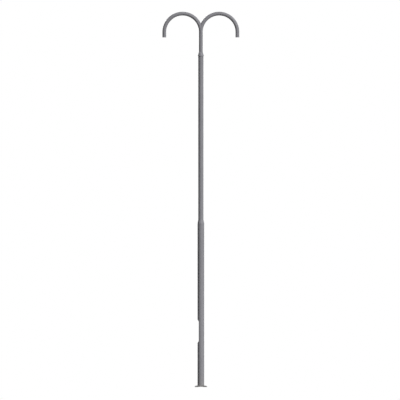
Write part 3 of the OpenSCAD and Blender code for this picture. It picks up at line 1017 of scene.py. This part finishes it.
def makeBracketScrews(screw):
    seat, head, rim = middleShaft["seat"], screw["head"], screw["rim"]
    rise = screw["headHeight"] - rim
    dome = [(head * cos(t), seat + rim + rise * sin(t)) for t in spread(0, pi / 2, 14)]
    outline = [(0, seat), (head - screw["rimInset"], seat)] + dome
    first = turnOutline("bracketScrew1", outline, 64, closed=False)
    length = seat - screw["tip"] + screw["overlap"]
    shank = makeThread("shank", screw["shank"] * 2, screw["pitch"], length)
    moveTo(shank, (0, 0, screw["tip"]))
    trimWith(first, shank, "UNION", fineMerge)
    bottom = seat + screw["headHeight"] - screw["socketDepth"]
    key = upright(screw["socket"] / sqrt(3), 2 * toolReach, (0, 0, bottom + toolReach), 6)
    trimWith(first, key, merge=fineMerge)
    smoothFaces(first)
    moveTo(first, (0, 0, screwHeight), alongX)
    others = [copyOf(first, "bracketScrew" + str(i)) for i in (2, 3)]
    for obj, turn, i in zip([first] + others, screwTurns, (1, 2, 3)):
        moveTo(obj, (0, 0, 0), (0, 0, turn))
        finishPiece(obj, screwSteel, "stainless", "bracket_screw_" + str(i))


makeBracketScrews(bracketScrew)

# Bracket stem
bracketStem = {"edgeRound": 0.0006, "around": 96}


def makeBracketStem(stem):
    low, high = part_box("bracket_stem")
    obj = turnTube("bracketStem", "stem", spread(low.z, high.z, 8), stem["around"])
    roundEdges(obj, stem["edgeRound"])
    finishTube(obj, "bracket_stem")


makeBracketStem(bracketStem)

# Spun collar that sheds rain over the joint
rainCollar = {"lip": 0.0735, "top": 0.049, "sheet": 0.004, "edgeRound": 0.0010, "around": 128}


def makeCollar(collar):
    low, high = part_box("collar")
    lip, top, tall = collar["lip"], collar["top"], high.z - low.z
    outer = [(lip + (top - lip) * t, low.z + tall * t) for t in spread(0, 1, 24)]
    inner = [(r - collar["sheet"], z) for r, z in outer]
    obj = turnOutline("rainCollar", outer + inner[::-1], collar["around"])
    roundEdges(obj, collar["edgeRound"], 3, 50)
    finishTube(obj, "collar")


makeCollar(rainCollar)

# Hooks: one tube bent over a half circle, mitred on the pole's axis, and its mirrored twin
hook = {"bend": 0.438, "gap": 0.001, "steps": 112, "tailSteps": 6, "around": 72, "edgeRound": 0.0009}
bendHeight = middleHeight("stem_seam_weld")


def bentTube(name, bar, tip):
    pickNone()
    start = (0, 0, bendHeight)
    bpy.ops.mesh.primitive_circle_add(vertices=bar["around"], radius=tubes["stem"], location=start)
    tube = bpy.context.active_object
    tube.name = tube.data.name = name
    fixPlace(tube)
    editAll(tube)
    bpy.ops.mesh.spin(steps=bar["steps"], angle=pi, center=(bar["bend"], 0, bendHeight), axis=(0, -1, 0))
    step = (0, 0, (tip - bendHeight) / bar["tailSteps"])
    for i in range(bar["tailSteps"]):
        bpy.ops.mesh.extrude_region_move(TRANSFORM_OT_translate={"value": step})
    leaveEdit()
    faceOut(tube)
    wall = tube.modifiers.new("wall", "SOLIDIFY")
    wall.thickness = tubes["stem"] - tubes["stemBore"]
    wall.offset = -1
    wall.use_even_offset = True
    applyModifier(tube, wall)
    return tube


def hookMiddle(point):
    # nearest point of the tube's middle line
    side = 1 if point.x > 0 else -1
    if point.z < bendHeight:
        return Vector((side * 2 * hook["bend"], 0, point.z))
    centre = Vector((side * hook["bend"], 0, bendHeight))
    away = Vector((point.x, 0, point.z)) - centre
    return centre + away.normalized() * hook["bend"]


def makeHooks(bar):
    right = bentTube("rightHook", bar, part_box("right_hook")[0].z)
    wide, below, above = 0.2, bendHeight - 0.1, bendHeight + 0.5
    trimWith(right, block("mitre", (-wide, -wide, below), (0, wide, above)))
    trimWith(right, block("rootGap", (-wide, -wide, below), (wide, wide, bendHeight + bar["gap"])))
    roundEdges(right, bar["edgeRound"], angle=40)
    left = copyOf(right, "leftHook")
    left.scale = (-1, 1, 1)
    fixPlace(left)
    faceOut(left)
    finishTube(right, "right_hook", hookMiddle)
    finishTube(left, "left_hook", hookMiddle)


makeHooks(hook)

# Weld over the crotch where the two bends meet
crotchBead = {"radius": 0.0044, "pitch": 0.0048, "sunk": 0.0028, "filled": 0.0012, "start": 0.004,
              "swell": 0.10}


def makeCrotchWeld(bead):
    # the seam climbs one side, fills the bottom of the V and comes down the other side
    bend, radius, sunk, filled = hook["bend"], tubes["stem"], bead["sunk"], bead["filled"]
    peak = sqrt((bend + radius + filled) ** 2 - bend ** 2)
    # the last point stops just short of the peak
    climb = peak - bead["start"] - 0.0001
    points = []
    for t in spread(0, 1, 60):
        rise = bead["start"] + climb * sin(pi / 2 * t)
        r = radius - sunk + (sunk + filled) * (rise / peak) ** 2
        y = sqrt(max(0, r ** 2 - (hypot(bend, rise) - bend) ** 2))
        points.append((0, -y, bendHeight + rise))
    points += [(0, -y, z) for x, y, z in reversed(points[:-1])]
    finishPiece(makeBead("crotchWeld", points, bead), weldGrey, "painted_weld", "crotch_weld")


makeCrotchWeld(crotchBead)

# The two packing rings inside the joint keep their solids and get the zinc finish
for node in ("lower_spigot_ring", "upper_spigot_ring"):
    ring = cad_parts[node]
    for place in ring.material_slots:
        place.link = "OBJECT"
        place.material = innerZinc

# Studio: a pale floor that fades into the white background, two suns and a little light all round
studio = {"floorRadius": 10.0, "fadeFrom": 0.45, "fadeTo": 0.97, "floorShade": (0.72, 0.74),
          "floorRough": 0.8, "bounce": 0.05, "glow": 0.32, "fill": 0.02, "sunDistance": 15}
# a sun's turn is degrees to the right of the camera's side, and its height is degrees above the floor
suns = {"keyLight": {"strength": 3.7, "size": 8, "turn": 34, "height": 30},
        "backLight": {"strength": 2.4, "size": 20, "turn": 195, "height": 14}}


def seenDirectly(tree):
    # 1 for the camera's own rays and those that metal or glass sends on
    ray = addNode(tree, "ShaderNodeLightPath").outputs
    sentOn = doMath(tree, "MAXIMUM", ray["Is Glossy Ray"], ray["Is Transmission Ray"])
    return doMath(tree, "MAXIMUM", ray["Is Camera Ray"], sentOn)


def makeFloor(light):
    pickNone()
    radius = light["floorRadius"]
    bpy.ops.mesh.primitive_circle_add(vertices=128, radius=radius, fill_type="NGON", location=(0, 0, 0))
    floorDisc = bpy.context.active_object
    floorDisc.name = "floor"
    material, tree, shader = newMaterial("floorPale")
    shader.inputs["Roughness"].default_value = light["floorRough"]
    place = objectPlace(tree)
    away = addNode(tree, "ShaderNodeVectorMath", {0: place}, operation="LENGTH").outputs["Value"]
    edge = mapTo(tree, away, radius * light["fadeFrom"], radius * light["fadeTo"])
    seen = seenDirectly(tree)
    # the pole sees a darker floor than the camera does, which keeps its undersides dark
    pale = blendColour(tree, scaledNoise(tree, 3.0), *[grey(level) for level in light["floorShade"]])
    tree.links.new(blendColour(tree, seen, grey(light["bounce"]), pale), shader.inputs["Base Color"])
    shader.inputs["Emission Color"].default_value = grey(1)
    tree.links.new(doMath(tree, "MULTIPLY", seen, light["glow"]), shader.inputs["Emission Strength"])
    white = addNode(tree, "ShaderNodeEmission", {"Color": grey(1), "Strength": 1.0})
    share = doMath(tree, "MULTIPLY", edge, seen)
    fadeOut = addNode(tree, "ShaderNodeMixShader", {0: share, 1: shader.outputs[0], 2: white.outputs[0]})
    tree.links.new(fadeOut.outputs[0], tree.nodes["Material Output"].inputs["Surface"])
    floorDisc.data.materials.append(material)


def addSun(name, sun):
    light = bpy.data.lights.new(name, "SUN")
    light.energy = sun["strength"]
    light.angle = radians(sun["size"])
    obj = bpy.data.objects.new(name, light)
    scene.collection.objects.link(obj)
    turn, height = radians(sun["turn"]), radians(sun["height"])
    towards = Vector((sin(turn) * cos(height), -cos(turn) * cos(height), sin(height)))
    obj.rotation_euler = towards.to_track_quat("Z", "Y").to_euler()
    obj.location = towards * studio["sunDistance"]


def makeWorld(light):
    world = bpy.data.worlds.new("studio")
    scene.world = world
    world.use_nodes = True
    tree = world.node_tree
    soft = tree.nodes["Background"]
    soft.inputs["Color"].default_value = grey(1)
    soft.inputs["Strength"].default_value = light["fill"]
    white = addNode(tree, "ShaderNodeBackground", {"Color": grey(1), "Strength": 1.0})
    sides = {0: seenDirectly(tree), 1: soft.outputs[0], 2: white.outputs[0]}
    mixed = addNode(tree, "ShaderNodeMixShader", sides)
    tree.links.new(mixed.outputs[0], tree.nodes["World Output"].inputs["Surface"])


makeFloor(studio)
for name, sun in suns.items():
    addSun(name, sun)
makeWorld(studio)

# Camera: level side elevation
view = {"width": 9.588, "aimX": -0.0204, "aimZ": 4.485, "distance": 30, "clipEnd": 200}
camera = bpy.data.cameras.new("camera")
camera.type = "ORTHO"
camera.ortho_scale = view["width"]
camera.clip_end = view["clipEnd"]
cameraObject = bpy.data.objects.new("camera", camera)
scene.collection.objects.link(cameraObject)
cameraObject.location = (view["aimX"], -view["distance"], view["aimZ"])
cameraObject.rotation_euler = (pi / 2, 0, 0)
scene.camera = cameraObject
scene.view_settings.view_transform = "Standard"
print("studio set")
